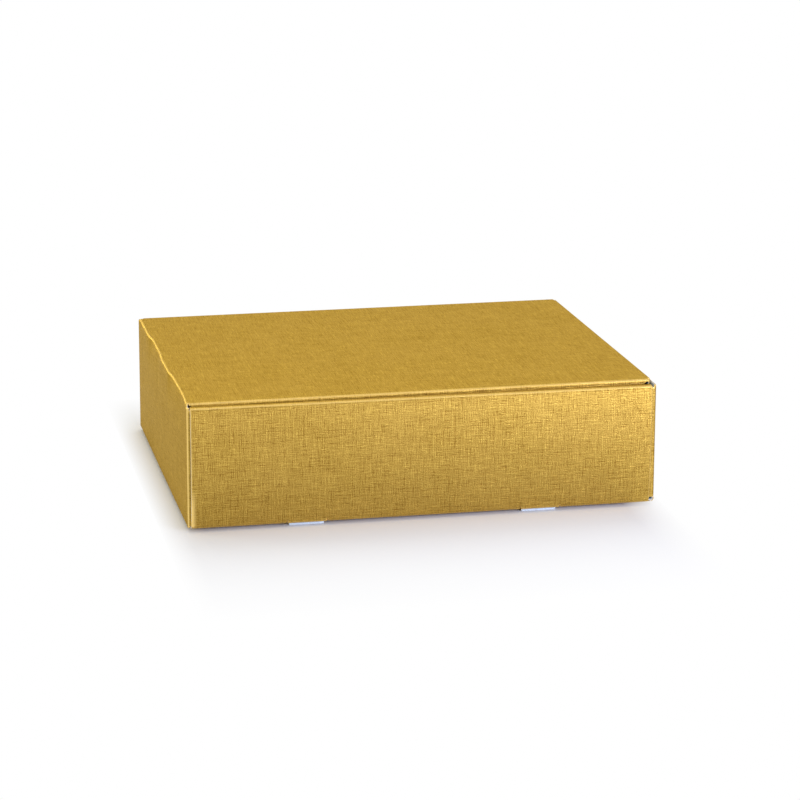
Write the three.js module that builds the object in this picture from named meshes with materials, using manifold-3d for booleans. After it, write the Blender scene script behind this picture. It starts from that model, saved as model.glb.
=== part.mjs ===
// Folded gift box of fine-flute corrugated board, closed. Millimetres, +Z up.
// The box is one die-cut blank, and each panel between two creases is a piece of its own.
// +X runs from the hinge wall to the tuck wall, -Y is the near long wall, and the origin is
// the middle of the footprint, level with the tips of the locking tabs that it stands on.
import * as THREE from 'three';
import { mergeVertices } from 'three/addons/utils/BufferGeometryUtils.js';
import Module from 'manifold-3d';

// Outside of the closed box
const boxLength = 380;
const boxWidth = 300;
const boxHeight = 100;

// The board and its creases
const board = 1.6;
const creaseRadius = 0.4;
const creaseSteps = 6;
const layerGap = 0.3;
const slideGap = 0.6;

// Double long walls, rolled over a ridge and locked into the base
const ridgeWidth = 6.8;
const hingeSetback = 3;
const tuckSetback = 4;
const tabWidth = 30;
const tabPitch = 190;
const tabDrop = 3;
const tabTaper = 1;
const slotSlack = 1;

// Corner flaps, held between the two leaves of the long walls
const cornerReach = 72;
const cornerTaper = 10;
const cornerRound = 8;
const hingeFlapLift = 0.6;
const tuckFlapLift = 3.6;

// Lid with its dust flaps and tuck flap
const lidRise = 2.2;
const lidSpring = 0.22;
const lipHingeCut = 2.5;
const lipTuckCut = 1.2;
const dustDepth = 60;
const dustHingeCut = 2.5;
const dustTuckCut = 3;
const dustMitre = 20;
const dustSlant = 20;
const tuckDepth = 55;
const tuckEndCut = 4;
const tuckShoulder = 10;
const tuckSlant = 15;
const tuckLean = 5;
const flapRound = 10;

// Places that follow from the sizes above
const foldRadius = creaseRadius + board;
const halfLength = boxLength / 2;
const halfWidth = boxWidth / 2;
const baseZ = tabDrop;
const baseTop = baseZ + board;
const lidTop = baseZ + boxHeight;
const wallTop = lidTop - lidRise;
const innerFace = halfWidth - ridgeWidth;
const cornerFace = halfWidth - board - layerGap;
const endHalf = cornerFace - foldRadius;
const lidHalf = innerFace - slideGap;
const lidEnd = halfLength - board - slideGap;
const hingeHalf = lidHalf - slideGap;
const tuckHalf = lidHalf - tuckEndCut;

const goldPaper = { color: 0xc9a24a, roughness: 0.45, metalness: 0.35 };
const whiteBoard = { color: 0xf1eee6, roughness: 0.85, metalness: 0 };

const rightAngle = Math.PI / 2;
const radians = THREE.MathUtils.degToRad;

const wasm = await Module();
wasm.setup();

// A solid of manifold-3d from a closed three.js geometry
function toSolid(geometry) {
  const bare = geometry.clone();
  bare.deleteAttribute('normal');
  bare.deleteAttribute('uv');
  const merged = mergeVertices(bare, 1e-5);
  return new wasm.Manifold(new wasm.Mesh({
    numProp: 3,
    vertProperties: new Float32Array(merged.attributes.position.array),
    triVerts: new Uint32Array(merged.index.array),
  }));
}

// A three.js geometry from a solid of manifold-3d
function toGeometry(solid) {
  const mesh = solid.getMesh();
  const geometry = new THREE.BufferGeometry();
  geometry.setAttribute('position', new THREE.BufferAttribute(mesh.vertProperties, 3));
  geometry.setIndex(new THREE.BufferAttribute(mesh.triVerts, 1));
  const flat = geometry.toNonIndexed();
  flat.computeVertexNormals();
  return flat;
}

function join(...geometries) {
  return toGeometry(geometries.map(toSolid).reduce((whole, part) => whole.add(part)));
}

// Section of a folded board. It follows the outside face from a start point and heading,
// and the board lies on the side that it bends to: turn 1 is left of the heading, -1 right.
function foldedSection(start, heading, turn, moves) {
  const outside = [];
  const inside = [];
  const point = start.clone();
  let angle = heading;
  const unit = (direction) => new THREE.Vector2(Math.cos(direction), Math.sin(direction));
  const towardsBoard = () => unit(angle + turn * rightAngle);
  const place = () => {
    outside.push(point.clone());
    inside.push(point.clone().addScaledVector(towardsBoard(), board));
  };
  place();
  for (const { run = 0, bend = 0 } of moves) {
    if (run > 0) {
      point.addScaledVector(unit(angle), run);
      place();
    }
    const centre = point.clone().addScaledVector(towardsBoard(), foldRadius);
    const steps = Math.ceil(creaseSteps * bend / rightAngle);
    for (let step = 0; step < steps; step += 1) {
      angle += turn * bend / steps;
      point.copy(centre).addScaledVector(towardsBoard(), -foldRadius);
      place();
    }
  }
  return new THREE.Shape([...outside, ...inside.reverse()]);
}

// Outline with round corners. Each corner is [u, v, radius], and radius 0 is sharp.
function roundedOutline(corners) {
  const shape = new THREE.Shape();
  corners.forEach(([u, v, radius], index) => {
    const corner = new THREE.Vector2(u, v);
    const before = new THREE.Vector2(...corners.at(index - 1)).sub(corner);
    const after = new THREE.Vector2(...corners[(index + 1) % corners.length]).sub(corner);
    const cosine = before.dot(after) / (before.length() * after.length());
    const setback = radius / Math.tan(Math.acos(cosine) / 2);
    const entry = corner.clone().addScaledVector(before.normalize(), setback);
    const exit = corner.clone().addScaledVector(after.normalize(), setback);
    if (index === 0) shape.moveTo(entry.x, entry.y);
    else shape.lineTo(entry.x, entry.y);
    if (radius > 0) shape.quadraticCurveTo(corner.x, corner.y, exit.x, exit.y);
  });
  shape.closePath();
  return shape;
}

function rectangle(uLow, vLow, uHigh, vHigh) {
  return roundedOutline([[uLow, vLow, 0], [uHigh, vLow, 0], [uHigh, vHigh, 0], [uLow, vHigh, 0]]);
}

function extrude(shape, depth) {
  return new THREE.ExtrudeGeometry(shape, { depth, bevelEnabled: false, curveSegments: creaseSteps });
}

// Shape in (y, z), swept along X
function alongX(shape, low, high) {
  const turned = new THREE.Matrix4().makeBasis(
    new THREE.Vector3(0, 1, 0), new THREE.Vector3(0, 0, 1), new THREE.Vector3(1, 0, 0));
  return extrude(shape, high - low).applyMatrix4(turned).translate(low, 0, 0);
}

// Shape in (x, z), swept along Y
function alongY(shape, low, high) {
  const turned = new THREE.Matrix4().makeBasis(
    new THREE.Vector3(1, 0, 0), new THREE.Vector3(0, 0, 1), new THREE.Vector3(0, -1, 0));
  return extrude(shape, high - low).applyMatrix4(turned).translate(0, high, 0);
}

// Shape in (x, y), swept along Z
function alongZ(shape, low, high) {
  return extrude(shape, high - low).translate(0, 0, low);
}

// Board between two faces on one side of the box, given as distances from its middle plane
function panelOnSide(shape, side, inner, outer) {
  return side < 0 ? alongY(shape, -outer, -inner) : alongY(shape, inner, outer);
}

function piece(name, geometry, finish) {
  const mesh = new THREE.Mesh(geometry, new THREE.MeshStandardMaterial(finish));
  mesh.name = name;
  return mesh;
}

const tabCentres = [-tabPitch / 2, tabPitch / 2];
const slotHalf = tabWidth / 2 + slotSlack;

// Base, with four slots that are open to its long edges, where the walls close them
function basePanel() {
  const endX = halfLength - foldRadius;
  const edgeY = halfWidth - foldRadius;
  const slotY = innerFace - layerGap;
  const [leftTab, rightTab] = tabCentres;
  const edge = (side) => [
    [-endX, side * edgeY, 0],
    ...[leftTab, rightTab].flatMap((centre) => [
      [centre - slotHalf, side * edgeY, 0],
      [centre - slotHalf, side * slotY, 0],
      [centre + slotHalf, side * slotY, 0],
      [centre + slotHalf, side * edgeY, 0],
    ]),
    [endX, side * edgeY, 0],
  ];
  const outline = roundedOutline([...edge(-1), ...edge(1).reverse()]);
  return piece('base_panel', alongZ(outline, baseZ, baseTop), goldPaper);
}

// Outer leaf of a long wall: it bends up from the base, and where a slot is cut along that
// crease, the wall runs straight down to a cut edge
function outerWall(name, side) {
  const start = new THREE.Vector2(side * (halfWidth - foldRadius), baseZ);
  const heading = side > 0 ? 0 : Math.PI;
  const section = foldedSection(start, heading, side, [
    { bend: rightAngle },
    { run: wallTop - baseZ - 2 * foldRadius },
  ]);
  const low = -halfLength + hingeSetback;
  const high = halfLength - tuckSetback;
  let wall = toSolid(alongX(section, low, high));
  for (const centre of tabCentres) {
    const from = centre - slotHalf;
    const to = centre + slotHalf;
    const lip = rectangle(from, baseZ, to, baseZ + 2 * foldRadius);
    const slot = rectangle(from, baseZ - board, to, baseZ + foldRadius);
    wall = wall.add(toSolid(panelOnSide(lip, side, halfWidth - board, halfWidth)));
    wall = wall.subtract(toSolid(panelOnSide(slot, side, innerFace, halfWidth - board)));
  }
  return piece(name, toGeometry(wall), goldPaper);
}

// Roll-over strip on top of a long wall, with the creases at both its edges
function ridge(name, side) {
  const start = new THREE.Vector2(side * halfWidth, wallTop - foldRadius);
  const section = foldedSection(start, rightAngle, side, [
    { bend: rightAngle },
    { run: ridgeWidth - 2 * foldRadius },
    { bend: rightAngle },
  ]);
  return piece(name, alongX(section, -halfLength + hingeSetback, halfLength - tuckSetback), goldPaper);
}

// Inner leaf of a long wall, with two tabs that go down through the base
function innerWall(name, side) {
  const endX = halfLength - board - slideGap;
  const top = wallTop - foldRadius;
  const foot = baseTop + layerGap;
  const [leftTab, rightTab] = tabCentres;
  const tab = (centre) => [
    [centre - tabWidth / 2, foot, 0],
    [centre - tabWidth / 2 + tabTaper, 0, 0],
    [centre + tabWidth / 2 - tabTaper, 0, 0],
    [centre + tabWidth / 2, foot, 0],
  ];
  const outline = roundedOutline([
    [-endX, top, 0], [-endX, foot, 0],
    ...tab(leftTab), ...tab(rightTab),
    [endX, foot, 0], [endX, top, 0],
  ]);
  return piece(name, panelOnSide(outline, side, innerFace, innerFace + board), goldPaper);
}

// Section of a short wall: up from the base by its crease, to the height given
function endSection(end, moves) {
  const start = new THREE.Vector2(end * (halfLength - foldRadius), baseZ);
  return foldedSection(start, end > 0 ? 0 : Math.PI, end, [{ bend: rightAngle }, ...moves]);
}

// Half of the lid's hinge crease, which is parted at its middle, where it turns
const hingeGapAngle = layerGap / 2 / foldRadius;
const halfFold = rightAngle / 2 - hingeGapAngle;

function hingeWall() {
  const shoulder = endSection(-1, [{ run: wallTop - baseZ - foldRadius }]);
  const crease = endSection(-1, [{ run: boxHeight - 2 * foldRadius }, { bend: halfFold }]);
  const wall = join(alongY(shoulder, -endHalf, endHalf), alongY(crease, -hingeHalf, hingeHalf));
  return piece('hinge_wall', wall, goldPaper);
}

function tuckWall() {
  const section = endSection(1, [{ run: wallTop - baseZ - foldRadius }]);
  return piece('tuck_wall', alongY(section, -endHalf, endHalf), goldPaper);
}

// Corner flap: it bends off a short wall by a vertical crease and lies between the leaves
// of a long wall, under the ridge
function cornerFlap(name, end, side, lift) {
  const start = new THREE.Vector2(end * halfLength, side * endHalf);
  const bare = foldedSection(start, side * rightAngle, end * side, [{ bend: rightAngle }]);
  const tailed = foldedSection(start, side * rightAngle, end * side, [
    { bend: rightAngle },
    { run: cornerTaper },
  ]);
  const low = Math.max(baseZ + lift, baseTop + layerGap);
  const high = wallTop - board - layerGap;
  const root = halfLength - foldRadius;
  const tip = root - cornerReach;
  const outline = roundedOutline([
    [end * root, low, 0], [end * root, high, 0],
    [end * (root - cornerTaper), high, 0], [end * tip, high - cornerTaper, cornerRound],
    [end * tip, low + cornerTaper, cornerRound], [end * (root - cornerTaper), low, 0],
  ]);
  const flap = join(
    alongZ(bare, baseZ + lift, wallTop),
    alongZ(tailed, low, high),
    panelOnSide(outline, side, cornerFace - board, cornerFace));
  return piece(name, flap, whiteBoard);
}

// Line on the outside of the hinge crease about which the lid turns
const hingeX = -halfLength + foldRadius * (1 - Math.SQRT1_2);
const hingeZ = lidTop - foldRadius * (1 - Math.SQRT1_2);

// Lid, with its half of the hinge crease and the rolled creases of its three flaps
function lidPanel() {
  const rimZ = lidTop - foldRadius;
  const overlap = 2 * foldRadius;
  const sheetLow = -halfLength + foldRadius;
  const sheetHigh = lidEnd - foldRadius;
  const lip = (side) => foldedSection(new THREE.Vector2(side * lidHalf, rimZ), rightAngle, side, [
    { bend: rightAngle },
    { run: tuckEndCut - foldRadius },
  ]);
  const lips = [-1, 1].map((side) => alongX(
    lip(side), sheetLow + lipHingeCut, lidEnd - lipTuckCut));
  const tuckEdge = foldedSection(new THREE.Vector2(sheetHigh - overlap, lidTop), 0, -1, [
    { run: overlap },
    { bend: rightAngle },
  ]);
  const foldStart = rightAngle + halfFold;
  const foldPoint = new THREE.Vector2(
    sheetLow + foldRadius * Math.cos(foldStart),
    rimZ + foldRadius * Math.sin(foldStart));
  const hingeEdge = foldedSection(foldPoint, halfFold, -1, [{ bend: halfFold }, { run: overlap }]);
  const sheetHalf = lidHalf - foldRadius;
  const sheet = rectangle(sheetLow, -sheetHalf, sheetHigh, sheetHalf);
  const lid = join(
    alongZ(sheet, lidTop - board, lidTop),
    ...lips,
    alongY(tuckEdge, -tuckHalf, tuckHalf),
    alongY(hingeEdge, -hingeHalf, hingeHalf));
  return piece('lid_panel', lid, goldPaper);
}

// Dust flap, drawn downwards from the lid's rim, with a slanted rear end and a mitred front
function dustFlap(name, side) {
  const top = lidTop - foldRadius - layerGap;
  const foot = top - dustDepth;
  const rear = -halfLength + foldRadius + dustHingeCut;
  const front = lidEnd - foldRadius - dustTuckCut;
  const outline = roundedOutline([
    [rear, top, 0],
    [rear + dustDepth * Math.tan(radians(dustSlant)), foot, flapRound],
    [front - dustMitre, foot, flapRound],
    [front - dustMitre, top - dustMitre, 0],
    [front, top, 0],
  ]);
  return piece(name, panelOnSide(outline, side, lidHalf - board, lidHalf), goldPaper);
}

// Tuck flap, drawn about its fold line and leaning into the box
function tuckFlap() {
  const slant = (tuckDepth - tuckShoulder) * Math.tan(radians(tuckSlant));
  const outline = roundedOutline([
    [-tuckHalf, -layerGap, 0],
    [-tuckHalf, -tuckShoulder, 0],
    [-tuckHalf + slant, -tuckDepth, flapRound],
    [tuckHalf - slant, -tuckDepth, flapRound],
    [tuckHalf, -tuckShoulder, 0],
    [tuckHalf, -layerGap, 0],
  ]);
  const flap = piece('tuck_flap', alongX(outline, 0, board), goldPaper);
  flap.position.set(lidEnd - board, 0, lidTop - foldRadius);
  flap.rotation.y = radians(tuckLean);
  return flap;
}

const box = new THREE.Group();
box.add(basePanel(), hingeWall(), tuckWall());
for (const [word, side] of [['near', -1], ['far', 1]]) {
  box.add(outerWall(`${word}_outer_wall`, side));
  box.add(ridge(`${word}_ridge`, side));
  box.add(innerWall(`${word}_inner_wall`, side));
  box.add(cornerFlap(`hinge_${word}_flap`, -1, side, hingeFlapLift));
  box.add(cornerFlap(`tuck_${word}_flap`, 1, side, tuckFlapLift));
}

// The creases hold the closed lid a little open, so it is turned about its hinge line
const lid = new THREE.Group();
lid.position.set(-hingeX, 0, -hingeZ);
lid.add(lidPanel(), dustFlap('near_dust_flap', -1), dustFlap('far_dust_flap', 1), tuckFlap());
const hinge = new THREE.Group();
hinge.position.set(hingeX, 0, hingeZ);
hinge.rotation.y = -radians(lidSpring);
hinge.add(lid);
box.add(hinge);

export default box;
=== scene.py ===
# Gift box folded from one blank of gold linen board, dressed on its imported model. Metres, +Z up.
# Sizes are in millimetres until a mesh is made. Every panel is drawn on the flat blank as
# (u, v), with u across the flutes of the board and v along them, and is then folded into place.
import math

import bmesh
import bpy
import numpy as np
from mathutils import Matrix, Vector


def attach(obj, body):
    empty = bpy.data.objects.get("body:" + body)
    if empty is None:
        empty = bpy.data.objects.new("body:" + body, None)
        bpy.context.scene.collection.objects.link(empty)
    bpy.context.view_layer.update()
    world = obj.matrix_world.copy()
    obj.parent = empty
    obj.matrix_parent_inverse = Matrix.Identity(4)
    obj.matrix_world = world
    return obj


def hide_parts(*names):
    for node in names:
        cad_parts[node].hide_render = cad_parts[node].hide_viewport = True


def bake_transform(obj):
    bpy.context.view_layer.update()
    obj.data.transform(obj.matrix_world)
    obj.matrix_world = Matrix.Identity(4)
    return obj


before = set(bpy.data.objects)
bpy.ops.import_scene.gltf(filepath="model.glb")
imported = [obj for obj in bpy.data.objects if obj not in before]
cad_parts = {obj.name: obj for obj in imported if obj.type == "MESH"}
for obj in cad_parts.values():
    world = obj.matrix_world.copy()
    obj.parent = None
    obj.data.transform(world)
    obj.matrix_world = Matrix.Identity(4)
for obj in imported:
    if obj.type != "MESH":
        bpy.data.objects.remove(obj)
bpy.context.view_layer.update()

# Base panel. The middle of the blank, which all the walls fold up from. Fine-flute board
# with gold linen paper outside, a wavy core and white paper inside. Four slots are cut at
# its long edges for the locking tabs.
metres = 0.001
board = 1.6
liner = 0.25
core_paper = 0.16
flute_pitch = 3.2
flute_points = 8
fold_radius = 2.0
fold_arc = fold_radius * math.pi / 2
face_fold_steps = 8
core_fold_steps = 4
rim_widths = (0.35, 0.45, 0.7)
rim = sum(rim_widths)
rim_crush = 0.95
crush_depth = 1.3
cell, line_gap = 20.0, 1.5
base_x, base_y, base_z = 188.0, 148.0, 3.0
tab_centres = (-95.0, 95.0)
slot_half, slot_y = 16.0, 142.9
splay, splay_start, splay_run, splay_height = 1.3, 184.0, 5.0, 115.0
near_enough = 1e-3
anywhere = (-math.inf, math.inf)


def add(tree, kind, inputs=(), **settings):
    """A node with its settings, and its inputs given as values or as sockets to link."""
    node = tree.nodes.new(kind)
    for name, value in settings.items():
        setattr(node, name, value)
    for key, value in dict(inputs).items():
        if isinstance(value, bpy.types.NodeSocket):
            tree.links.new(value, node.inputs[key])
        else:
            node.inputs[key].default_value = value
    return node


def rolled(past, depth):
    """Where a point ends that lies past the start of a crease, as (out, down) from there."""
    turn = np.clip(past / fold_radius, 0, math.pi / 2)
    beyond = np.maximum(past - fold_arc, 0)
    out = (fold_radius - depth) * np.sin(turn)
    down = fold_radius - (fold_radius - depth) * np.cos(turn) + beyond
    return out, down


def surface(at, point, along_u, along_v, inward, folds=(), uncreased=(), then=None):
    """Way from the flat blank to one panel in the box. The blank's point at lies at point, and
    each fold is (axis, side, line). Between the u of each uncreased pair the sheet stays flat."""

    def place(u, v, depth):
        flat = [np.array(u, float), np.array(v, float)]
        depth = np.broadcast_to(np.array(depth, float), flat[0].shape)
        plain = np.zeros(flat[0].shape, bool)
        for low, high in uncreased:
            plain |= (flat[0] > low) & (flat[0] < high)
        for axis, side, line in folds:
            past = side * (flat[axis] - line)
            out, down = rolled(past, depth)
            bent = (past > 0) & ~(plain if axis == 1 else False)
            flat[axis] = np.where(bent, line + side * out, flat[axis])
            depth = np.where(bent, down, depth)
        places = (
            np.array(point, float)
            + (flat[0] - at[0])[:, None] * np.array(along_u, float)
            + (flat[1] - at[1])[:, None] * np.array(along_v, float)
            + depth[:, None] * np.array(inward, float)
        )
        return then(places, np.array(u, float), np.array(v, float)) if then else places

    return place, folds


def fold_lines(folds, steps):
    """Places of the lines across u and v that let the sheet bend round its folds."""
    lines = [[], []]
    for axis, side, line in folds:
        lines[axis] += [line + side * fold_arc * step / steps for step in range(steps + 1)]
    return lines


def edges_of(outline, joins):
    """Each edge of an outline as its two ends, and whether it joins a neighbour instead of
    being cut. A join is (axis, line, low, high)."""
    corners = np.array(outline)
    for a, b in zip(corners, np.roll(corners, -1, axis=0)):
        joined = False
        for axis, line, low, high in joins:
            on_line = abs(a[axis] - line) < near_enough and abs(b[axis] - line) < near_enough
            other = sorted((a[1 - axis], b[1 - axis]))
            joined |= on_line and other[0] > low - near_enough and other[1] < high + near_enough
        yield a, b, joined


def face_sheet(outline, folds, extra, joins):
    """Flat sheet in the outline, with a narrow rim, parted at the folds and into cells. The
    lines of the rim run on to the ends of the joined edges."""
    bm = bmesh.new()
    sheet = bm.faces.new([bm.verts.new((u, v, 0)) for u, v in outline])
    sheet.normal_update()
    if sheet.normal.z < 0:
        sheet.normal_flip()
    size = np.ptp(np.array(outline), axis=0)
    for width in rim_widths:
        if min(size) > 3 * rim:
            bmesh.ops.inset_individual(bm, faces=[sheet], thickness=width, use_even_offset=True)
    lines = fold_lines(folds, face_fold_steps)
    for a, b, joined in edges_of(outline, joins):
        if joined:
            axis = int(abs(b[1] - a[1]) > abs(b[0] - a[0]))
            for start, way in ((a[axis], np.sign(b - a)[axis]), (b[axis], np.sign(a - b)[axis])):
                lines[axis] += [start + way * x for x in np.cumsum(rim_widths)]
    low = np.min(outline, axis=0)
    for axis in (0, 1):
        lines[axis] += extra[axis]
        count = math.ceil(size[axis] / cell)
        inner = [low[axis] + size[axis] * k / count for k in range(1, count)]
        lines[axis] += [x for x in inner if all(abs(x - y) > line_gap for y in lines[axis])]
        for line in lines[axis]:
            bmesh.ops.bisect_plane(
                bm,
                geom=bm.verts[:] + bm.edges[:] + bm.faces[:],
                dist=1e-5,
                plane_co=(line, line, 0),
                plane_no=(1, 0, 0) if axis == 0 else (0, 1, 0),
            )
    bm.verts.index_update()
    flat = np.array([v.co[:2] for v in bm.verts])
    faces = [[v.index for v in f.verts] for f in bm.faces]
    bm.free()
    return flat, faces


core_digits, least_strip = 4, 0.01


def core_sheet(outline, folds, extra):
    """Flat strips inside the outline, with a line for each point of the wave of the core."""
    corners = np.array(outline)
    ends = list(zip(corners, np.roll(corners, -1, axis=0)))
    step = flute_pitch / flute_points
    low, high = corners[:, 0].min(), corners[:, 0].max()
    across, along = (a + list(b) for a, b in zip(fold_lines(folds, core_fold_steps), extra))
    marks = [*(k * step for k in range(math.ceil(low / step), math.floor(high / step) + 1))]
    marks = np.unique(np.round([*marks, *corners[:, 0], *across], core_digits))
    slack = 10 ** -core_digits
    marks = marks[(marks >= low - slack) & (marks <= high + slack)]
    flat, faces, seen = [], [], {}

    def corner(u, v):
        key = (round(u, core_digits), round(v, core_digits))
        if key not in seen:
            seen[key] = len(flat)
            flat.append((u, v))
        return seen[key]

    for left, right in zip(marks, marks[1:]):
        middle = (left + right) / 2
        crossed = []
        for a, b in ends:
            if (a[0] - middle) * (b[0] - middle) < 0:
                height = [a[1] + (b[1] - a[1]) * (x - a[0]) / (b[0] - a[0]) for x in (left, right)]
                crossed.append(height)
        crossed.sort(key=sum)
        for bottom, top in zip(crossed[::2], crossed[1::2]):
            lowest, highest = max(bottom) + least_strip, min(top) - least_strip
            rows = [x for x in sorted(along) if lowest < x < highest]
            levels = [bottom, *([x, x] for x in rows), top]
            for lower, upper in zip(levels, levels[1:]):
                ring = [corner(left, lower[0]), corner(right, lower[1]),
                        corner(right, upper[1]), corner(left, upper[0])]
                ring = list(dict.fromkeys(ring))
                if len(ring) > 2:
                    faces.append(ring)
    return np.array(flat), faces


def cut_distance(flat, outline, joins):
    """How far each point is from a cut edge."""
    nearest = np.full(len(flat), 1e3)
    for a, b, joined in edges_of(outline, joins):
        if not joined:
            way = b - a
            share = np.clip(((flat - a) @ way) / (way @ way), 0, 1)
            nearest = np.minimum(nearest, np.linalg.norm(flat - a - share[:, None] * way, axis=1))
    return nearest


def paper_map(tree):
    """Millimetres on the flat blank, from the piece's own map."""
    flat = add(tree, "ShaderNodeUVMap", uv_map="blank")
    return add(tree, "ShaderNodeVectorMath", {0: flat.outputs[0], 3: 1 / metres}, operation="SCALE")


def noise(tree, place, scale, detail=2.0, shift=0.0):
    """Noise on the blank, drawn out by its own scale in u and in v."""
    drawn = add(tree, "ShaderNodeMapping", {0: place, 1: (shift, shift, 0), 3: (*scale, 1)})
    spots = add(tree, "ShaderNodeTexNoise", {
        "Vector": drawn.outputs[0], "Scale": 1.0, "Detail": detail,
    })
    return spots.outputs["Fac"]


def spread(tree, value, low, high, to_low=0.0, to_high=1.0):
    """The value brought from between low and high to between two others, and held there."""
    reach = add(tree, "ShaderNodeMapRange", {0: value, 1: low, 2: high, 3: to_low, 4: to_high})
    return reach.outputs[0]


def sums(tree, operation, a, b):
    """A number worked out from two others, each a value or a socket."""
    return add(tree, "ShaderNodeMath", {0: a, 1: b}, operation=operation).outputs[0]


def mixed(tree, share, a, b):
    """Colour between a and b."""
    node = add(tree, "ShaderNodeMix", data_type="RGBA")
    for index, value in ((0, share), (6, a), (7, b)):
        if isinstance(value, bpy.types.NodeSocket):
            tree.links.new(value, node.inputs[index])
        else:
            node.inputs[index].default_value = value
    return node.outputs[2]


def flute_wave(tree, place):
    """The faint washboard that the flutes leave in the papers, from 0 to 1."""
    parts = add(tree, "ShaderNodeSeparateXYZ", {0: place})
    phase = sums(tree, "MULTIPLY", parts.outputs[0], 2 * math.pi / flute_pitch)
    return spread(tree, sums(tree, "COSINE", phase, 0.0), -1, 1)


thread_sway, sway_along, sway_across = 2.4, 0.05, 0.7
dash_along, faintest_dash = 0.13, 0.1


def linen_threads(tree, place, across, pitch, shift):
    """One set of threads, from -1 to 1, that run along u or v and fade in and out in dashes."""
    along = 1 - across
    scale = [sway_along, sway_along]
    scale[across] = sway_across
    sway = sums(tree, "MULTIPLY", noise(tree, place, scale, 1.0, shift), thread_sway)
    parts = add(tree, "ShaderNodeSeparateXYZ", {0: place})
    turns = sums(tree, "MULTIPLY", parts.outputs[across], 1 / pitch)
    phase = sums(tree, "MULTIPLY", sums(tree, "ADD", turns, sway), 2 * math.pi)
    scale[along], scale[across] = dash_along, 1 / pitch
    dashes = spread(tree, noise(tree, place, scale, 0.0, shift + 20), 0.4, 0.6, faintest_dash, 1.0)
    return sums(tree, "MULTIPLY", sums(tree, "COSINE", phase, 0.0), dashes)


weft_pitch, warp_pitch = 1.35, 1.5
# Thread colours: darker in the hollows of the emboss and paler on its crowns. This is partly the
# linen's own tone and partly painted shade and highlight of the emboss.
hollow_gold, crown_gold = (0.19, 0.095, 0.009, 1), (0.59, 0.395, 0.079, 1)
# Pale gold for the cut rims and creases: partly rubbed wear, partly painted highlight along the bright
# lines that light draws on them.
blotch_gold, worn_and_highlight_gold = (0.58, 0.38, 0.1, 1), (0.95, 0.69, 0.24, 1)
blotch_share, worn_and_highlight_share = 0.1, 0.9
hollow_roughness, crown_roughness = 0.52, 0.4
emboss_depth, fibre_depth = 0.1, 0.02
emboss_washboard, fibre_washboard = 0.16, 0.8


def gold_linen():
    """Metallised gold paper, embossed with an uneven linen of fine crossed threads."""
    material = bpy.data.materials.new("gold_linen_paper")
    material.use_nodes = True
    tree = material.node_tree
    shader = tree.nodes["Principled BSDF"]
    place = paper_map(tree).outputs[0]
    weft = linen_threads(tree, place, 1, weft_pitch, 0.0)
    warp = linen_threads(tree, place, 0, warp_pitch, 60.0)
    grain = spread(tree, noise(tree, place, (1.2, 1.2), 1.0, 140.0), 0.3, 0.7, -1, 1)
    crossed = sums(tree, "MULTIPLY", sums(tree, "ADD", weft, warp), 0.5)
    linen = spread(tree, sums(tree, "ADD", crossed, sums(tree, "MULTIPLY", grain, 0.5)), -1.0, 1.0)
    blotch = spread(tree, noise(tree, place, (0.02, 0.02), detail=3.0, shift=200.0), 0.3, 0.7)
    # Painted shade in the emboss hollows and painted highlight on the crowns, over the linen's own
    # tone.
    threads = mixed(tree, linen, hollow_gold, crown_gold)
    tone = mixed(tree, sums(tree, "MULTIPLY", blotch, blotch_share), threads, blotch_gold)
    # Creases and cut rims are mixed towards the pale gold: partly rubbed wear, partly painted
    # highlight.
    wear_and_painted_highlight = add(tree, "ShaderNodeAttribute", attribute_name="wear_and_painted_highlight")
    wear_and_highlight_mix = sums(tree, "MULTIPLY", wear_and_painted_highlight.outputs["Fac"], worn_and_highlight_share)
    colour = mixed(tree, wear_and_highlight_mix, tone, worn_and_highlight_gold)
    tree.links.new(colour, shader.inputs["Base Color"])
    shader.inputs["Metallic"].default_value = 1.0
    shader.inputs["Specular Tint"].default_value = (0.80, 0.66, 0.40, 1)
    roughness = spread(tree, linen, 0, 1, hollow_roughness, crown_roughness)
    tree.links.new(roughness, shader.inputs["Roughness"])
    washboard = sums(tree, "MULTIPLY", flute_wave(tree, place), emboss_washboard)
    height = sums(tree, "ADD", linen, washboard)
    bump = add(tree, "ShaderNodeBump", {
        "Strength": 1.0, "Distance": emboss_depth * metres, "Height": height,
    })
    tree.links.new(bump.outputs[0], shader.inputs["Normal"])
    return material


def board_paper(name, dark, light, roughness):
    """Uncoated paper: fine fibres, a little mottle and the washboard of the flutes."""
    material = bpy.data.materials.new(name)
    material.use_nodes = True
    tree = material.node_tree
    shader = tree.nodes["Principled BSDF"]
    place = paper_map(tree).outputs[0]
    fibres = noise(tree, place, (1.7, 3.1), detail=4.0)
    mottle = noise(tree, place, (0.07, 0.05), detail=2.0, shift=30.0)
    share = spread(tree, sums(tree, "ADD", fibres, mottle), 0.7, 1.3)
    tree.links.new(mixed(tree, share, (*dark, 1), (*light, 1)), shader.inputs["Base Color"])
    dull = spread(tree, fibres, 0.3, 0.7, roughness - 0.05, roughness + 0.05)
    tree.links.new(dull, shader.inputs["Roughness"])
    shader.inputs["Specular IOR Level"].default_value = 0.3
    washboard = sums(tree, "MULTIPLY", flute_wave(tree, place), fibre_washboard)
    height = sums(tree, "ADD", fibres, washboard)
    bump = add(tree, "ShaderNodeBump", {
        "Strength": 1.0, "Distance": fibre_depth * metres, "Height": height,
    })
    tree.links.new(bump.outputs[0], shader.inputs["Normal"])
    return material


gold = gold_linen()
# The white liner's colours are tinted blue: painted cool shade, standing in for the bluish light on the
# white board in shade.
white = board_paper(
    "white_liner_paper", dark=(0.64, 0.73, 0.78), light=(0.74, 0.82, 0.87), roughness=0.75)
cream = board_paper(
    "core_paper", dark=(0.70, 0.63, 0.50), light=(0.82, 0.76, 0.64), roughness=0.85)
weld = 1e-6


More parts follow.
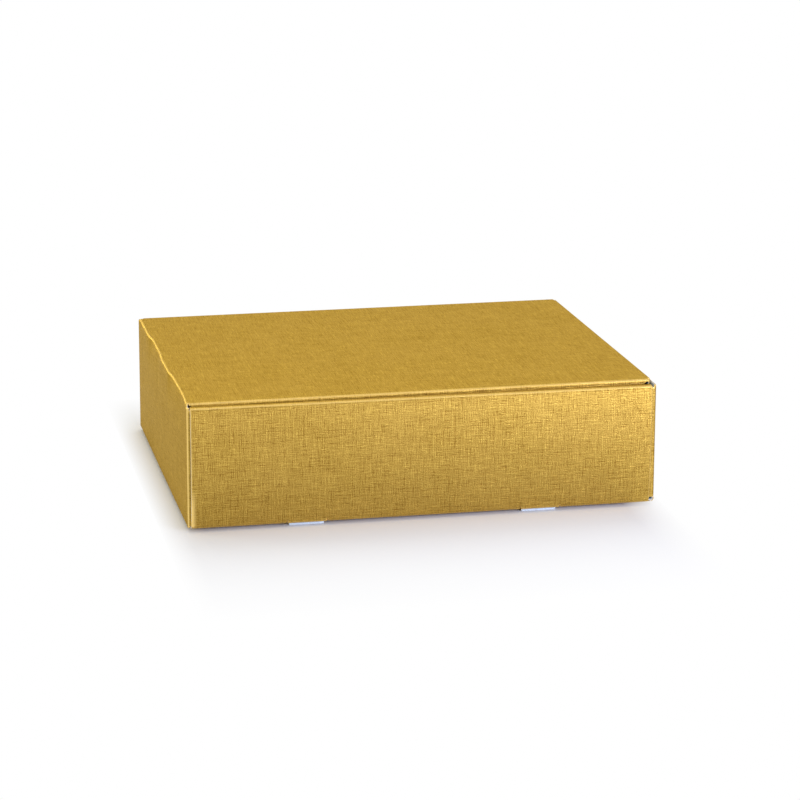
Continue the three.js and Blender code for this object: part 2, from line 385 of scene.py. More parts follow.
def board_tree():
    """Node tree that makes board of a sheet: two liners, and the core as a wave between them."""
    tree = bpy.data.node_groups.new("fluted_board", "GeometryNodeTree")
    ports = tree.interface
    ports.new_socket("Sheets", in_out="INPUT", socket_type="NodeSocketGeometry")
    for name in ("Board", "Liner", "Core paper", "Flute pitch", "Rim crush", "Crush depth"):
        ports.new_socket(name, in_out="INPUT", socket_type="NodeSocketFloat")
    for name in ("Face paper", "Back paper", "Inner paper"):
        ports.new_socket(name, in_out="INPUT", socket_type="NodeSocketMaterial")
    ports.new_socket("Board", in_out="OUTPUT", socket_type="NodeSocketGeometry")
    given = add(tree, "NodeGroupInput").outputs

    def attribute(name, kind):
        node = add(tree, "GeometryNodeInputNamedAttribute", {"Name": name}, data_type=kind)
        return node.outputs["Attribute"]

    def calculate(operation, a, b=0.0):
        return add(tree, "ShaderNodeMath", {0: a, 1: b}, operation=operation).outputs[0]

    inward = attribute("inward", "FLOAT_VECTOR")
    crush = calculate("MULTIPLY", attribute("pinch", "FLOAT"), given["Rim crush"])
    kept = calculate("SUBTRACT", 1.0, crush)

    def shift(depth, less=0.0):
        """Offset into the board to a depth, pressed towards the crush depth at a cut rim."""
        squeezed = calculate("MULTIPLY", calculate("SUBTRACT", depth, given["Crush depth"]), kept)
        reach = calculate("SUBTRACT", calculate("ADD", squeezed, given["Crush depth"]), less)
        node = add(tree, "ShaderNodeVectorMath", {0: inward, 3: reach}, operation="SCALE")
        return node.outputs[0], reach

    def marked(geometry, name, selection=True):
        node = add(tree, "GeometryNodeStoreNamedAttribute", {
            "Geometry": geometry, "Selection": selection, "Name": name, "Value": True,
        }, data_type="BOOLEAN", domain="FACE")
        return node.outputs[0]

    def paper(sheet, near, far, face=None, back=None):
        """Closed sheet of paper between two depths, with its face and back named."""
        offset, reached = shift(far)
        low = add(tree, "GeometryNodeSetPosition", {"Geometry": sheet, "Offset": offset}).outputs[0]
        wall = add(tree, "GeometryNodeExtrudeMesh", {
            "Mesh": low, "Offset Scale": 0.0, "Individual": False,
        })
        raised = add(tree, "GeometryNodeSetPosition", {
            "Geometry": marked(wall.outputs["Mesh"], "cut", wall.outputs["Side"]),
            "Selection": wall.outputs["Top"],
            "Offset": shift(near, reached)[0],
        }).outputs[0]
        under = add(tree, "GeometryNodeFlipFaces", {"Mesh": low}).outputs[0]
        top = marked(raised, face) if face else raised
        bottom = marked(under, back) if back else under
        whole = add(tree, "GeometryNodeJoinGeometry")
        tree.links.new(top, whole.inputs[0])
        tree.links.new(bottom, whole.inputs[0])
        welded = add(tree, "GeometryNodeMergeByDistance", {
            "Geometry": whole.outputs[0], "Distance": weld,
        })
        return welded.outputs[0]

    parted = add(tree, "GeometryNodeSeparateGeometry", {
        "Geometry": given["Sheets"], "Selection": attribute("core", "BOOLEAN"),
    }, domain="FACE")
    core, faces = parted.outputs
    inner_depth = calculate("SUBTRACT", given["Board"], given["Liner"])
    turns = calculate("DIVIDE", attribute("across", "FLOAT"), given["Flute pitch"])
    wave = calculate("COSINE", calculate("MULTIPLY", turns, 2 * math.pi))
    share = calculate("MULTIPLY", calculate("ADD", wave, 1.0), 0.5)
    between = calculate("SUBTRACT", inner_depth, given["Liner"])
    room = calculate("SUBTRACT", between, given["Core paper"])
    wave_top = calculate("ADD", calculate("MULTIPLY", share, room), given["Liner"])
    wave_foot = calculate("ADD", wave_top, given["Core paper"])
    layers = add(tree, "GeometryNodeJoinGeometry")
    for sheet in (
        paper(faces, 0.0, given["Liner"], face="gold"),
        paper(core, wave_top, wave_foot),
        paper(faces, inner_depth, given["Board"], back="white"),
    ):
        tree.links.new(sheet, layers.inputs[0])
    smooth = add(tree, "FunctionNodeBooleanMath", {0: attribute("cut", "BOOLEAN")}, operation="NOT")
    shaded = add(tree, "GeometryNodeSetShadeSmooth", {
        "Geometry": layers.outputs[0], "Shade Smooth": smooth.outputs[0],
    }).outputs[0]
    finished = add(tree, "GeometryNodeRealizeInstances", {"Geometry": shaded}).outputs[0]
    for port, chosen in (("Inner paper", True), ("Face paper", "gold"), ("Back paper", "white")):
        where = attribute(chosen, "BOOLEAN") if isinstance(chosen, str) else chosen
        finished = add(tree, "GeometryNodeSetMaterial", {
            "Geometry": finished, "Selection": where, "Material": given[port],
        }).outputs[0]
    add(tree, "NodeGroupOutput", {0: finished})
    return tree


fluted_board = board_tree()
board_inputs = {
    "Board": board * metres,
    "Liner": liner * metres,
    "Core paper": core_paper * metres,
    "Flute pitch": flute_pitch * metres,
    "Crush depth": crush_depth * metres,
    "Face paper": gold,
    "Back paper": white,
    "Inner paper": cream,
}
# The map is moved so that no place on it is negative
map_shift = np.array([0.75, 0.45])
# How far creases are lightened in colour: rubbed wear together with painted highlight along the folds.
crease_wear_and_highlight = 0.62


def panel(name, node, outline, way, joins=(), extra=((), ()), pressed=None,
          crush=rim_crush, highlight_wear=crease_wear_and_highlight):
    """Piece of board in the outline, folded into place, that stands for a node of the model.
    It is also parted at the extra lines across u and v, pressed thin where that says, and
    has its creases and cut rims lightened in colour, partly as rubbed wear and partly as
    painted highlight, as far as highlight_wear says."""
    place, folds = way
    vertices, inwards, flats, loops, rims, core_flags = [], [], [], [], [], []
    sheets = (face_sheet(outline, folds, extra, joins), core_sheet(outline, folds, extra))
    for is_core, (flat, faces) in enumerate(sheets):
        start = sum(len(part) for part in flats)
        top = place(flat[:, 0], flat[:, 1], 0.0)
        inward = place(flat[:, 0], flat[:, 1], 1.0) - top
        vertices.append(top * metres)
        inwards.append(inward)
        flats.append(flat)
        rims.append(cut_distance(flat, outline, joins))
        loops += [[start + index for index in ring] for ring in faces]
        core_flags += [bool(is_core)] * len(faces)
    vertices, inwards, flats, rims = (np.concatenate(x) for x in (vertices, inwards, flats, rims))
    mesh = bpy.data.meshes.new(name)
    mesh.from_pydata(vertices.tolist(), [], loops)
    mesh.update()
    outward = sum(
        f.area * np.dot(f.normal, -inwards[f.vertices[0]]) for f in mesh.polygons
    )
    if outward < 0:
        mesh.flip_normals()
    creased = np.zeros(len(flats))
    for axis, side, line in folds:
        turn = np.clip(side * (flats[:, axis] - line) / fold_arc, 0, 1)
        creased = np.maximum(creased, np.sin(turn * math.pi) ** 3)
    near_rim = np.clip(1 - rims / rim, 0, 1)
    pinch = 1 - np.sqrt(1 - near_rim ** 2)
    if pressed:
        pinch = np.maximum(pinch, pressed(flats[:, 0], flats[:, 1]))
    # Cut rims and creases are lightened in colour: partly rubbed wear, partly painted highlight for the
    # bright lines along them.
    wear_and_painted_highlight = np.maximum(np.clip(2 * pinch, 0, 1), highlight_wear * creased)
    for key, kind, domain, field, values in (
        ("inward", "FLOAT_VECTOR", "POINT", "vector", inwards),
        ("across", "FLOAT", "POINT", "value", flats[:, 0] * metres),
        ("pinch", "FLOAT", "POINT", "value", pinch),
        ("wear_and_painted_highlight", "FLOAT", "POINT", "value", wear_and_painted_highlight),
        ("core", "BOOLEAN", "FACE", "value", np.array(core_flags)),
    ):
        mesh.attributes.new(key, kind, domain).data.foreach_set(field, np.ravel(values))
    corners = np.empty(len(mesh.loops), int)
    mesh.loops.foreach_get("vertex_index", corners)
    layer = mesh.uv_layers.new(name="blank")
    layer.uv.foreach_set("vector", (flats[corners] * metres + map_shift).ravel())
    piece = bpy.data.objects.new(name, mesh)
    bpy.context.collection.objects.link(piece)
    modifier = piece.modifiers.new("board", "NODES")
    modifier.node_group = fluted_board
    given = {**board_inputs, "Rim crush": crush}
    for socket in fluted_board.interface.items_tree:
        if socket.in_out == "INPUT" and socket.name in given:
            modifier[socket.identifier] = given[socket.name]
    whole = piece.evaluated_get(bpy.context.evaluated_depsgraph_get())
    made = bpy.data.meshes.new_from_object(whole)
    piece.modifiers.remove(modifier)
    piece.data = made
    for key in ("inward", "across", "pinch", "core", "cut", "gold", "white"):
        if key in made.attributes:
            made.attributes.remove(made.attributes[key])
    if node:
        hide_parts(node)
    return piece


def splayed(places, u, v):
    """The foot of the tuck wall stands a little further out than its top."""
    across = np.clip((places[:, 0] - splay_start) / splay_run, 0, 1)
    below = np.clip(1 - places[:, 2] / splay_height, 0, 1)
    moved = places.copy()
    moved[:, 0] += splay * across * below
    return moved


def mirrored(points, side_u=1, side_v=1):
    """An outline as it lies on the other side of the blank's middle lines."""
    return [(side_u * u, side_v * v) for u, v in points]


slot_cuts = [
    point
    for centre in tab_centres
    for point in (
        (centre - slot_half, base_y), (centre - slot_half, slot_y),
        (centre + slot_half, slot_y), (centre + slot_half, base_y),
    )
]
far_edge = [(-base_x, base_y), *slot_cuts, (base_x, base_y)]
base_outline = [*mirrored(far_edge, side_v=-1), *reversed(far_edge)]
base_way = surface((0, 0), (0, 0, base_z), (1, 0, 0), (0, 1, 0), (0, 0, 1), then=splayed)
base_joins = [
    (axis, side * edge, *anywhere) for axis, edge in ((0, base_x), (1, base_y)) for side in (-1, 1)]
base = panel(
    "base_board", "base_panel", base_outline, base_way, base_joins,
    ([splay_start], []))
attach(base, "tray")

# Short walls. Each folds up from an end of the base. The hinge wall goes on into the lid's
# crease along its top, while the tuck wall ends in a cut edge. Their upright side creases
# carry the corner flaps.
half_length, lid_top = 190.0, 103.0
lid_rim_z = lid_top - fold_radius
wall_foot = base_z + fold_radius
wall_top = 100.8
end_half = 146.1
hinge_half = 142.0
wall_u = base_x + fold_arc
plain_crush = 0.25
flap_lifts = {-1: 0.6, 1: 3.6}
foot_half = 147.9


def end_u(z):
    """Place of a height on the short walls in the flat blank, as a distance from its middle."""
    return wall_u + z - wall_foot


def end_way(end, then=None, top_fold=False):
    """Way onto a short wall, which may go on over its top into the lid's crease."""
    folds = [(0, -end, end * wall_u)]
    if top_fold:
        folds.append((0, end, end * end_u(lid_rim_z)))
    return surface(
        (end * wall_u, 0), (end * half_length, 0, wall_foot),
        (0, 0, end), (0, 1, 0), (-end, 0, 0), folds, then=then)


hinge_outline = [
    (-end_u(wall_top), -end_half), (-base_x, -end_half), (-base_x, end_half),
    (-end_u(wall_top), end_half), (-end_u(wall_top), hinge_half), (-end_u(wall_top), -hinge_half),
]
hinge_joins = [
    (0, -base_x, *anywhere), (0, -end_u(wall_top), -hinge_half, hinge_half),
    (1, -end_half, *anywhere), (1, end_half, *anywhere),
]
wave_places = (
    -142, -136, -128, -120, -108, -92, -76, -60, -52, -46, -40, -28, -12, 0, 6, 12, 20, 40,
    56, 64, 70, 76, 84, 90, 100, 108, 142,
)
wave_depths = (
    0.5, 0.55, 1.1, 1.4, 1.6, 1.7, 1.45, 1.35, 0.95, 0.3, -0.05, 0.05, 0.0, 0.0, 0.5, 0.8, 1.3, 1.35,
    1.5, 1.5, 1.0, 0.3, -0.05, -0.35, -0.15, 0.0, 0.1,
)
wave_run, wave_drop = 12.0, 30.0
end_bow = 1.2


def crease_wave(places, u, v):
    """The hinge crease was folded by hand, so it runs in and out of line."""
    dent = np.interp(places[:, 1], wave_places, wave_depths)
    height = np.clip(1 - (lid_rim_z - places[:, 2]) / wave_drop, 0, 1) ** 2
    inland = np.clip(1 - (places[:, 0] + half_length - fold_radius) / wave_run, 0, 1) ** 2
    rise = np.clip(1 - (places[:, 2] / lid_top * 2 - 1) ** 2, 0, 1)
    middle = np.clip(1 - (places[:, 1] / end_half) ** 2, 0, 1)
    moved = places.copy()
    moved[:, 0] += dent * height * inland - np.where(inland > 0, end_bow * rise * middle, 0)
    return moved


hinge_way = end_way(-1, crease_wave)
wave_lines = [float(y) for y in wave_places[1:-1]]
wall_heights = (12, 20, 30, 40, 50, 60, 70.8, 76, 81, 86, 90, 93, 96, 98.5)
wall_lines = [-end_u(z) for z in wall_heights]
hinge_wall = panel(
    "hinge_wall_board", "hinge_wall", hinge_outline, hinge_way, hinge_joins,
    (wall_lines, wave_lines))
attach(hinge_wall, "tray")
tuck_foot = end_u(base_z + flap_lifts[1])
half_wall = [
    (end_u(wall_top), end_half), (tuck_foot, end_half),
    (tuck_foot, foot_half), (base_x, foot_half),
]
tuck_outline = [*half_wall, *reversed(mirrored(half_wall, side_v=-1))]
tuck_joins = [
    (0, base_x, *anywhere), (1, -end_half, tuck_foot, math.inf), (1, end_half, tuck_foot, math.inf),
]
tuck_wall = panel(
    "tuck_wall_board", "tuck_wall", tuck_outline, end_way(1, splayed), tuck_joins,
    crush=plain_crush)
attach(tuck_wall, "tray")

# Corner flaps. One bends off each upright edge of the short walls by a rounded crease and
# lies between the two leaves of a long wall, under the ridge, with its outer side gold.
corner_face = 148.1
corner_reach, corner_taper, corner_round = 72.0, 10.0, 8.0
layer_gap = 0.3
# Painted highlight on the corner creases: the bends at the hinge end are lightened almost fully, those
# at the tuck end not at all.
corner_wear_and_highlight = {-1: 0.95, 1: 0.0}
curve_steps = 6


def rounded(corners):
    """Outline of corners given as (u, v, radius), with each radius cut as a curve. Where two
    corners fall on one another, one is left out."""
    outline = []
    for index, (u, v, radius) in enumerate(corners):
        corner = np.array((u, v), float)
        if radius == 0:
            outline.append((u, v))
            continue
        before = np.array(corners[index - 1][:2], float) - corner
        after = np.array(corners[(index + 1) % len(corners)][:2], float) - corner
        before, after = before / np.linalg.norm(before), after / np.linalg.norm(after)
        back = radius / math.tan(math.acos(before @ after) / 2)
        for step in range(curve_steps + 1):
            t = step / curve_steps
            point = corner + before * back * (1 - t) ** 2 + after * back * t ** 2
            outline.append(tuple(point))
    kept = [math.dist(point, outline[index - 1]) > near_enough for index, point in enumerate(outline)]
    return [point for point, keep in zip(outline, kept) if keep]


for end, end_word in ((-1, "hinge"), (1, "tuck")):
    for side, side_word in ((-1, "near"), (1, "far")):
        bend_foot = base_z + flap_lifts[end]
        low = max(bend_foot, base_z + board + layer_gap)
        high = wall_top - board - layer_gap
        root = end_half + fold_arc
        tip = root + corner_reach
        corner_outline = rounded([
            (end_u(bend_foot), end_half, 0), (end_u(wall_top), end_half, 0),
            (end_u(wall_top), root, 0), (end_u(high), root, 0),
            (end_u(high), root + corner_taper, 0),
            (end_u(high - corner_taper), tip, corner_round),
            (end_u(low + corner_taper), tip, corner_round),
            (end_u(low), root + corner_taper, 0),
            (end_u(low), root, 0), (end_u(bend_foot), root, 0),
        ])
        corner_way = surface(
            (end * wall_u, side * root), (end * base_x, side * corner_face, wall_foot),
            (0, 0, end), (-end * side, 0, 0), (0, -side, 0), [(1, -side, side * root)], then=splayed)
        flap = panel(
            f"{end_word}_{side_word}_flap_board", f"{end_word}_{side_word}_flap",
            mirrored(corner_outline, end, side), corner_way, [(1, side * end_half, *anywhere)],
            crush=plain_crush, highlight_wear=corner_wear_and_highlight[end])
        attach(flap, "tray")

# Outer leaves of the long walls. Each bends up from a long edge of the base, with a straight
# lip over each slot, and has the bottom corner by the hinge wall a little curled.
half_width = 150.0
wall_low, wall_high = -187.4, 186.5
wall_v = base_y + fold_arc
ridge_v = wall_v + wall_top - fold_radius - wall_foot
slit = 0.05
curl_crush, curl_width, curl_height = 0.9, 4.4, 30.0
curl_steps = (2.2, 3.0, 3.8, 4.6)
wall_bow, bow_steps = 2.0, range(5, 91, 5)


def bowed(places, u, v):
    """The leaf stands a little out between its foot and its ridge, as two papers on a wave do."""
    share = np.clip((places[:, 2] - wall_foot) / (wall_top - fold_radius - wall_foot), 0, 1)
    moved = places.copy()
    moved[:, 1] += np.sign(places[:, 1]) * wall_bow * 4 * share * (1 - share)
    return moved


def curled(u, v):
    """The cut end by the hinge wall is pressed thin at its foot, where hands fold it in."""
    # The pinch also lightens this band in colour, as rubbed wear and painted highlight.
    near_end = np.clip(1 - (u - wall_low) / curl_width, 0, 1) ** 1.5
    near_foot = np.clip(1 - (np.abs(v) - wall_v) / curl_height, 0, 1) ** 0.5
    return curl_crush * near_end * near_foot


lip_ranges = [(c - slot_half + slit / 2, c + slot_half - slit / 2) for c in tab_centres]
lip_foot = wall_v - fold_radius
foot_edge = [
    point
    for centre in reversed(tab_centres)
    for point in (
        (centre + slot_half, base_y), (centre + slot_half, wall_v),
        (centre + slot_half - slit, wall_v), (centre + slot_half - slit, lip_foot),
        (centre - slot_half + slit, lip_foot), (centre - slot_half + slit, wall_v),
        (centre - slot_half, wall_v), (centre - slot_half, base_y),
    )
]
wall_outline = [
    (wall_high, base_y), *foot_edge, (wall_low, base_y), (wall_low, ridge_v), (wall_high, ridge_v),
]
for side, side_word in ((-1, "near"), (1, "far")):
    wall_way = surface(
        (0, side * wall_v), (0, side * half_width, wall_foot),
        (1, 0, 0), (0, 0, side), (0, -side, 0), [(1, -side, side * wall_v)], lip_ranges, bowed)
    leaf_lines = [[wall_low + x for x in curl_steps], [side * (wall_v + z) for z in bow_steps]]
    wall_joins = [(1, side * base_y, *anywhere), (1, side * ridge_v, *anywhere)]
    wall = panel(
        f"{side_word}_outer_wall_board", f"{side_word}_outer_wall",
        mirrored(wall_outline, side_v=side), wall_way, wall_joins, leaf_lines, curled)
    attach(wall, "tray")

# Ridges. The narrow strip that rolls over the top of each long wall, between two creases. It
# joins the outer leaf to the inner one and closes the pocket that holds the corner flaps.
ridge_width = 6.8
ridge_flat = ridge_width - 2 * fold_radius
ridge_start = ridge_v + fold_arc
inner_v = ridge_start + ridge_flat + fold_arc
ridge_outline = [
    (wall_low, ridge_v), (wall_low, inner_v), (wall_high, inner_v), (wall_high, ridge_v),
]
for side, side_word in ((-1, "near"), (1, "far")):
    ridge_way = surface(
        (0, side * ridge_start), (0, side * base_y, wall_top),
        (1, 0, 0), (0, -1, 0), (0, 0, -1),
        [(1, -side, side * ridge_start), (1, side, side * (ridge_start + ridge_flat))])
    ridge_joins = [(1, side * ridge_v, *anywhere), (1, side * inner_v, *anywhere)]
    ridge = panel(
        f"{side_word}_ridge_board", f"{side_word}_ridge",
        mirrored(ridge_outline, side_v=side), ridge_way, ridge_joins)
    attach(ridge, "tray")

# Inner leaves of the long walls. Gold towards the inside of the box and white towards the
# outer leaf, each with two tabs that lock down through the slots of the base.
inner_y = 143.2
inner_high = 98.8
inner_end = 187.8
inner_foot = base_z + board + layer_gap
tab_half, tab_taper = 15.0, 1.0


def inner_leaf_v(z):
    """Place in the blank of a height on an inner leaf."""
    return inner_v + inner_high - z


tab_edges = [
    point
    for centre in reversed(tab_centres)
    for point in (
        (centre + tab_half, inner_leaf_v(inner_foot)), (centre + tab_half - tab_taper, inner_leaf_v(0)),
        (centre - tab_half + tab_taper, inner_leaf_v(0)), (centre - tab_half, inner_leaf_v(inner_foot)),
    )
]
leaf_outline = [
    (-inner_end, inner_v), (inner_end, inner_v),
    (inner_end, inner_leaf_v(inner_foot)), *tab_edges, (-inner_end, inner_leaf_v(inner_foot)),
]
for side, side_word in ((-1, "near"), (1, "far")):
    leaf_way = surface(
        (0, side * inner_v), (0, side * inner_y, inner_high), (1, 0, 0), (0, 0, -side), (0, side, 0))
    leaf = panel(
        f"{side_word}_inner_wall_board", f"{side_word}_inner_wall",
        mirrored(leaf_outline, side_v=side), leaf_way, [(1, side * inner_v, *anywhere)])
    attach(leaf, "tray")

# Lid. The sheet on top, whose rolled lips lead into the dust flaps and the tuck flap. The
# hinge crease holds it a little open.
lid_spring = math.radians(0.22)
hinge_x = -half_length + fold_radius * (1 - math.sqrt(0.5))
hinge_z = lid_top - fold_radius * (1 - math.sqrt(0.5))
lid_low, lid_high = -188.0, 185.8
lid_fold_y = 140.6
lip_low, lip_high = -187.4, 186.3
tuck_half = 138.6
lid_u = -end_u(lid_rim_z) - fold_arc
overrun = 0.2
lip_run = fold_arc + 0.1


def lid_x(x):
    """Place of a lid point in the flat blank."""
    return lid_u - (x - lid_low)


def turned(places, pivot, angle):
    """Turned about a line along Y by an angle in radians, which lifts the side of +X."""
    x, z = places[:, 0] - pivot[0], places[:, 2] - pivot[1]
    c, s = np.cos(angle), np.sin(angle)
    return np.stack([pivot[0] + x * c - z * s, places[:, 1], pivot[1] + x * s + z * c], 1)


def sprung(places, u, v):
    """The lid as its hinge crease holds it, a little open."""
    return turned(crease_wave(places, u, v), (hinge_x, hinge_z), lid_spring)


lid_quarter = [
    (lid_x(lid_low + overrun), lid_fold_y), (lid_x(lip_low), lid_fold_y),
    (lid_x(lip_low), lid_fold_y + lip_run), (lid_x(lip_high), lid_fold_y + lip_run),
    (lid_x(lip_high), lid_fold_y), (lid_x(lid_high), lid_fold_y),
    (lid_x(lid_high), tuck_half), (lid_x(lid_high) - lip_run, tuck_half),
]
lid_outline = [*lid_quarter, *reversed(mirrored(lid_quarter, side_v=-1))]
lid_folds = [(1, -1, -lid_fold_y), (1, 1, lid_fold_y), (0, -1, lid_x(lid_high))]
lid_way = surface(
    (lid_u, 0), (lid_low, 0, lid_top), (-1, 0, 0), (0, 1, 0), (0, 0, -1),
    lid_folds, then=sprung)
dust_v = lid_fold_y + lip_run
lid_joins = [
    (0, lid_x(lid_low + overrun), *anywhere), (0, lid_x(lid_high) - lip_run, *anywhere),
    (1, -dust_v, *anywhere), (1, dust_v, *anywhere),
]
wave_stations = (-187.3, -185.4, -182.6, -179.6, -176.2)
lid_lines = [lid_x(x) for x in wave_stations]
lid = panel(
    "lid_board", "lid_panel", lid_outline, lid_way, lid_joins, (lid_lines, wave_lines))
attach(lid, "lid")

# Hinge crease. The rolled fold that joins the lid to the hinge wall. It is made in short lengths,
# each following its own stretch of the wavy line, from the lid side to the wall side.
crease_stops = (
    -hinge_half, -132, -124, -112, -56, -49, -43, -34, 3, 9, 16, 30, 67, 73, 80, 96, hinge_half)


def half_sprung(places, u, v):
    """The crease takes up the lid's spring between its wall side and its lid side."""
    share = np.clip(-(u + end_u(lid_rim_z)) / fold_arc, 0, 1)
    return turned(crease_wave(places, u, v), (hinge_x, hinge_z), lid_spring * share)


crease_way = end_way(-1, half_sprung, top_fold=True)
crease_joins = [(0, -end_u(wall_top), *anywhere), (0, lid_x(lid_low + overrun), *anywhere)]
crease_joins += [(1, stop, *anywhere) for stop in crease_stops[1:-1]]
line_margin, dent_samples = 0.5, 9
for number, (low, high) in enumerate(zip(crease_stops, crease_stops[1:]), 1):
    lid_side = [float(np.clip(v, -lid_fold_y, lid_fold_y)) for v in (high, low)]
    crease_outline = [
        (-end_u(wall_top), low), (-end_u(wall_top), high),
        (lid_x(lid_low + overrun), lid_side[0]), (lid_x(lid_low + overrun), lid_side[1]),
    ]
    crease = panel(
        f"hinge_crease_board_{number}", None, crease_outline, crease_way, crease_joins,
        ((), [y for y in wave_lines if low + line_margin < y < high - line_margin]))
    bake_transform(crease)

# Dust flaps. They hang from the lid's long lips inside the walls, slanted at the rear end and
# mitred at the front, and fold in. A short strip of crease joins each to the lid.
dust_rear, dust_front = -186.6, 184.0
dust_start, dust_depth, dust_mitre = 0.3, 60.0, 20.0
dust_slant = math.tan(math.radians(20))
flap_round = 10.0
crease_run, flap_gap = 1.0, 0.3


def flap_v(drop):
    """Place in the blank of a height on a dust flap, as the drop from the end of its crease."""
    return lid_fold_y + fold_arc + drop


def rear_x(drop):
    """Where the slanted rear edge of a dust flap is at that drop."""
    return dust_rear + (drop - dust_start) * dust_slant


flap_top = lip_run - fold_arc + crease_run
foot = dust_start + dust_depth
dust_corners = [
    (lid_x(rear_x(flap_top)), flap_v(flap_top), 0),
    (lid_x(rear_x(foot)), flap_v(foot), flap_round),
    (lid_x(dust_front - dust_mitre), flap_v(foot), flap_round),
    (lid_x(dust_front - dust_mitre), flap_v(dust_start + dust_mitre), 0),
    (lid_x(dust_front - (flap_top - dust_start)), flap_v(flap_top), 0),
]
strip_corners = [
    (lid_x(dust_rear), dust_v), (lid_x(rear_x(flap_top)), flap_v(flap_top)),
    (lid_x(dust_front - (flap_top - dust_start)), flap_v(flap_top)), (lid_x(dust_front), dust_v),
]
for side, side_word in ((-1, "near"), (1, "far")):
    dust_way = surface(
        (lid_u, 0), (lid_low, 0, lid_top), (-1, 0, 0), (0, 1, 0), (0, 0, -1),
        [(1, side, side * lid_fold_y)], then=sprung)
    flap = panel(
        f"{side_word}_dust_flap_board", f"{side_word}_dust_flap",
        mirrored(rounded(dust_corners), side_v=side), dust_way,
        [(1, side * flap_v(flap_top), *anywhere)])
    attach(flap, f"{side_word}_dust_flap")
    strip = panel(
        f"{side_word}_dust_crease_board", None, mirrored(strip_corners, side_v=side),
        dust_way, [(1, side * dust_v, *anywhere), (1, side * flap_v(flap_top), *anywhere)])
    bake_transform(strip)

# Tuck flap. It hangs from the lid's front lip, leans in by five degrees and slides down
# inside the tuck wall. Its two ends slant, with round corners, so that it finds its way in.
tuck_depth, tuck_shoulder = 55.0, 10.0
tuck_slant = (tuck_depth - tuck_shoulder) * math.tan(math.radians(15))
tuck_lean = -math.radians(5)
tuck_fold, tuck_bend = (186.2, lid_rim_z), 0.8
tuck_u = lid_x(lid_high) - fold_arc
half_tuck = [
    (tuck_u - flap_top, tuck_half, 0), (tuck_u - tuck_shoulder, tuck_half, 0),
    (tuck_u - tuck_depth, tuck_half - tuck_slant, flap_round),
]
tuck_flap_outline = rounded([*half_tuck, *[(u, -v, r) for u, v, r in reversed(half_tuck)]])


def leaned(places, u, v):
    """The tuck flap leans into the box from its fold on."""
    share = np.clip((tuck_u - u) / flap_top, 0, 1)
    return sprung(turned(places, tuck_fold, tuck_lean * share), u, v)


tuck_way = surface(
    (lid_u, 0), (lid_low, 0, lid_top), (-1, 0, 0), (0, 1, 0), (0, 0, -1),
    [(0, -1, lid_x(lid_high))], then=leaned)
tuck_flap = panel(
    "tuck_flap_board", "tuck_flap", tuck_flap_outline, tuck_way,
    [(0, tuck_u - flap_top, *anywhere)])
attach(tuck_flap, "tuck_flap")
tuck_strip_outline = [
    (lid_x(lid_high) - lip_run, -tuck_half), (lid_x(lid_high) - lip_run, tuck_half),
    (tuck_u - flap_top, tuck_half), (tuck_u - flap_top, -tuck_half),
]
tuck_strip = panel(
    "tuck_crease_board", None, tuck_strip_outline, tuck_way,
    [(0, tuck_u - flap_top, *anywhere), (0, lid_x(lid_high) - lip_run, *anywhere)])
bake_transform(tuck_strip)

# Studio. A white floor that keeps the soft shadow, a white surround, and five soft lamps. The
# floor goes over to plain white away from the box: to the front and back over a fifth of a
# metre, and past the two ends within a few centimetres.
floor_half = 15
shade_reach, shade_fall = 0.205, 0.8
shade_ends = ((-0.190, -0.211), (0.166, 0.200))
floor_corners = [(-1, -1), (1, -1), (1, 1), (-1, 1)]
floor_mesh = bpy.data.meshes.new("studio_floor")
floor_places = [(floor_half * x, floor_half * y, 0) for x, y in floor_corners]
floor_mesh.from_pydata(floor_places, [], [(0, 1, 2, 3)])
floor = bpy.data.objects.new("studio_floor", floor_mesh)
bpy.context.collection.objects.link(floor)


def seen_rays(tree):
    """1 for the rays that see the surround: from the camera, a reflection or through glass."""
    rays = add(tree, "ShaderNodeLightPath").outputs
    either = sums(tree, "MAXIMUM", rays["Is Camera Ray"], rays["Is Glossy Ray"])
    return sums(tree, "MAXIMUM", either, rays["Is Transmission Ray"])


floor_paper = bpy.data.materials.new("studio_floor_white")
floor_paper.use_nodes = True
floor_tree = floor_paper.node_tree
floor_tree.nodes.clear()
lit = add(floor_tree, "ShaderNodeBsdfDiffuse", {"Color": (0.92, 0.92, 0.92, 1)})
glow = add(floor_tree, "ShaderNodeEmission", {"Color": (1, 1, 1, 1), "Strength": 1.0})
where = add(floor_tree, "ShaderNodeTexCoord").outputs["Object"]
floor_x, floor_y = add(floor_tree, "ShaderNodeSeparateXYZ", {0: where}).outputs[:2]
box_side = half_width * metres
before = sums(floor_tree, "MULTIPLY", floor_y, -1.0)
behind = sums(floor_tree, "SUBTRACT", sums(floor_tree, "MULTIPLY", floor_y, 2.0), box_side)
off_side = sums(floor_tree, "MAXIMUM", before, behind)
long_shade = spread(floor_tree, off_side, box_side, box_side + shade_reach, 1.0, 0.0)
faded = sums(floor_tree, "POWER", sums(floor_tree, "SUBTRACT", 1.0, long_shade), shade_fall)
shade = sums(floor_tree, "SUBTRACT", 1.0, faded)
for start, stop in shade_ends:
    shade = sums(floor_tree, "MULTIPLY", shade, spread(floor_tree, floor_x, start, stop, 1.0, 0.0))
veil = sums(floor_tree, "SUBTRACT", 1.0, shade)
seen_veil = sums(floor_tree, "MULTIPLY", seen_rays(floor_tree), veil)
veiled = add(floor_tree, "ShaderNodeMixShader", {0: seen_veil, 1: lit.outputs[0], 2: glow.outputs[0]})
add(floor_tree, "ShaderNodeOutputMaterial", {0: veiled.outputs[0]})
floor_mesh.materials.append(floor_paper)

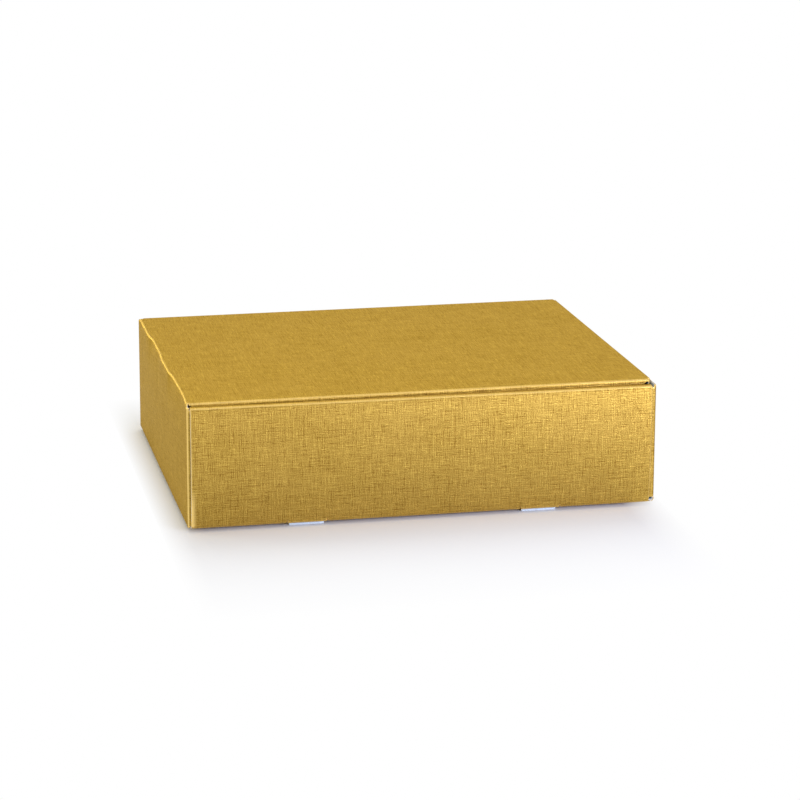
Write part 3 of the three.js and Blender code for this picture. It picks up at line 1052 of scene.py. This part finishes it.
world = bpy.data.worlds.new("studio_surround")
bpy.context.scene.world = world
world.use_nodes = True
world_tree = world.node_tree
world_tree.nodes.clear()
light_strength, seen_strength = 0.5, 1.0
strength = spread(world_tree, seen_rays(world_tree), 0, 1, light_strength, seen_strength)
surround = add(world_tree, "ShaderNodeBackground", {"Color": (1, 1, 1, 1), "Strength": strength})
add(world_tree, "ShaderNodeOutputWorld", {0: surround.outputs[0]})

plain, amber, cool = (1, 1, 1), (1, 1, 0.65), (0.97, 1, 1.4)
for name, colour, width, height, power, place, aim in (
    ("lamp_above", plain, 1.6, 1.2, 9.0, (0.1, 1.0, 1.6), (0, 0, 0.05)),
    ("lamp_front_right", cool, 0.5, 0.3, 7.4, (0.65, -1.0, 0.3), (0.05, -0.15, 0.06)),
    ("lamp_front_left", plain, 0.5, 0.3, 2.0, (-0.45, -1.0, 0.4), (-0.1, -0.15, 0.06)),
    ("lamp_left", amber, 0.6, 0.4, 3.3, (-1.3, 0.5, 0.4), (-0.19, 0, 0.06)),
    ("lamp_back_left", amber, 0.5, 0.3, 2.0, (-0.75, 1.4, 0.3), (-0.19, 0, 0.06)),
):
    light = bpy.data.lights.new(name, "AREA")
    light.shape = "RECTANGLE"
    light.color = colour
    light.size, light.size_y, light.energy = width, height, power
    lamp = bpy.data.objects.new(name, light)
    lamp.location = place
    lamp.rotation_euler = (Vector(aim) - Vector(place)).to_track_quat("-Z", "Y").to_euler()
    bpy.context.collection.objects.link(lamp)

camera_data = bpy.data.cameras.new("photo_camera")
camera_data.sensor_width = 36.0
camera_data.lens = 118.95
camera_data.clip_start, camera_data.clip_end = 0.1, 60.0
camera = bpy.data.objects.new("photo_camera", camera_data)
bpy.context.collection.objects.link(camera)
camera_place = (-0.462, -2.1004, 0.6517)
look_azimuth, look_down, roll = (math.radians(x) for x in (12.73, 15.44, 0.543))
look = (
    Matrix.Rotation(-look_azimuth, 4, "Z")
    @ Matrix.Rotation(math.pi / 2 - look_down, 4, "X")
    @ Matrix.Rotation(roll, 4, "Z")
)
camera.matrix_world = Matrix.Translation(camera_place) @ look
bpy.context.scene.camera = camera
bpy.context.scene.view_settings.view_transform = "Standard"
